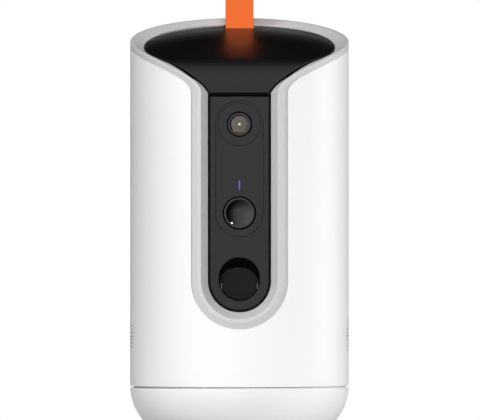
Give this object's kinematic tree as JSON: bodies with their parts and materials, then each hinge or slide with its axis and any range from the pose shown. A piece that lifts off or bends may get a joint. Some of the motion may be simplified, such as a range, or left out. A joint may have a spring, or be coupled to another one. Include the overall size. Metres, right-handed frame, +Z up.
{
  "type": "pet camera",
  "caption": "Free-standing treat-tossing pet camera: round white body, slanted lift-off black lid with pull strap, recessed front panel with lens, button and flapped treat hole",
  "frame": {"origin": "centre of the foot on the floor, under the body's axis", "axes": "+Z up along the body's axis, front panel faces -Y, +X to the right seen from the front"},
  "size_m": [0.12, 0.12, 0.2578],
  "materials": {
    "white_plastic": "satin moulded white",
    "grey_trim": "satin light grey",
    "gloss_black": "polished",
    "panel_black": "fine matt",
    "button_black": "satin gloss",
    "inner_black": "moulded",
    "hopper_grey": "moulded",
    "lens_glass": "coated",
    "light_blue": "clear, lit",
    "strap_orange": "soft smooth",
    "rubber_grey": "matt",
    "gasket_grey": "soft",
    "gear_white": "moulded",
    "wheel_orange": "moulded",
    "steel": "ground",
    "motor_steel": "plated",
    "bronze": "sintered",
    "board_green": "circuit board",
    "cone_paper": "pressed paper",
    "magnet": "plated"
  },
  "bodies": {
    "body": {"outer_shell": "white_plastic", "trim_bezel": "grey_trim", "base_bowl": "white_plastic", "foot_ring": "rubber_grey", "base_screws": "steel", "grille_right": "white_plastic", "grille_left": "white_plastic", "front_panel": "panel_black", "sensor_window": "panel_black", "camera_bezel": "panel_black", "lens_barrel": "inner_black", "lens_glass": "lens_glass", "lens_holder": "inner_black", "camera_board": "board_green", "camera_screws": "steel", "led_pipe": "light_blue", "led_chip": "gear_white", "push_switch": "inner_black", "button_board": "board_green", "button_screws": "steel", "panel_screws": "steel", "treat_spout": "panel_black", "spout_screws": "steel", "flap_pin": "steel", "treat_hopper": "hopper_grey", "wheel_housing": "hopper_grey", "housing_screws": "steel", "bush_left": "bronze", "bush_right": "bronze", "idler_pin": "steel", "drive_motor": "motor_steel", "gear_plate": "hopper_grey", "plate_screws": "steel", "motor_screws": "steel", "chassis": "inner_black", "main_board": "board_green", "processor_shield": "steel", "power_inlet": "motor_steel", "board_screws": "steel", "speaker_basket": "inner_black", "speaker_cone": "cone_paper", "speaker_magnet": "magnet"},
    "lid": {"lid_cover": "gloss_black", "lid_gasket": "gasket_grey", "pull_strap": "strap_orange", "strap_pin": "steel"},
    "button": {"front_button": "button_black", "switch_plunger": "gear_white"},
    "flap": {"treat_flap": "panel_black"},
    "toss_wheel": {"toss_wheel": "wheel_orange", "wheel_shaft": "steel", "wheel_gear": "gear_white"},
    "idler": {"idler_gear": "gear_white"},
    "pinion": {"motor_pinion": "gear_white", "motor_shaft": "steel"}
  },
  "joints": [
    {"name": "lid_lift", "type": "slide", "parent": "body", "child": "lid", "axis": [0, 0, 1], "range_m": [0, 0.08]},
    {"name": "button_press", "type": "slide", "parent": "body", "child": "button", "axis": [0, 1, 0], "range_m": [0, 0.001], "stiffness_N_per_m": 600, "springref_m": -0.0005},
    {"name": "flap_swing", "type": "hinge", "parent": "body", "child": "flap", "pos_m": [0, -0.04216, 0.0948], "axis": [-1, 0, 0], "range_deg": [0, 65]},
    {"name": "wheel_spin", "type": "hinge", "parent": "body", "child": "toss_wheel", "pos_m": [0, -0.01401, 0.0847], "axis": [1, 0, 0], "continuous": true},
    {"name": "idler_spin", "type": "hinge", "parent": "body", "child": "idler", "pos_m": [0, 0.00667, 0.06734], "axis": [1, 0, 0], "continuous": true},
    {"name": "pinion_spin", "type": "hinge", "parent": "body", "child": "pinion", "pos_m": [0, 0.02359, 0.06119], "axis": [1, 0, 0], "continuous": true}
  ],
  "couplings": [
    {"joint": "idler_spin", "follows": "wheel_spin", "ratio": -1.25},
    {"joint": "pinion_spin", "follows": "wheel_spin", "ratio": 2.5}
  ]
}
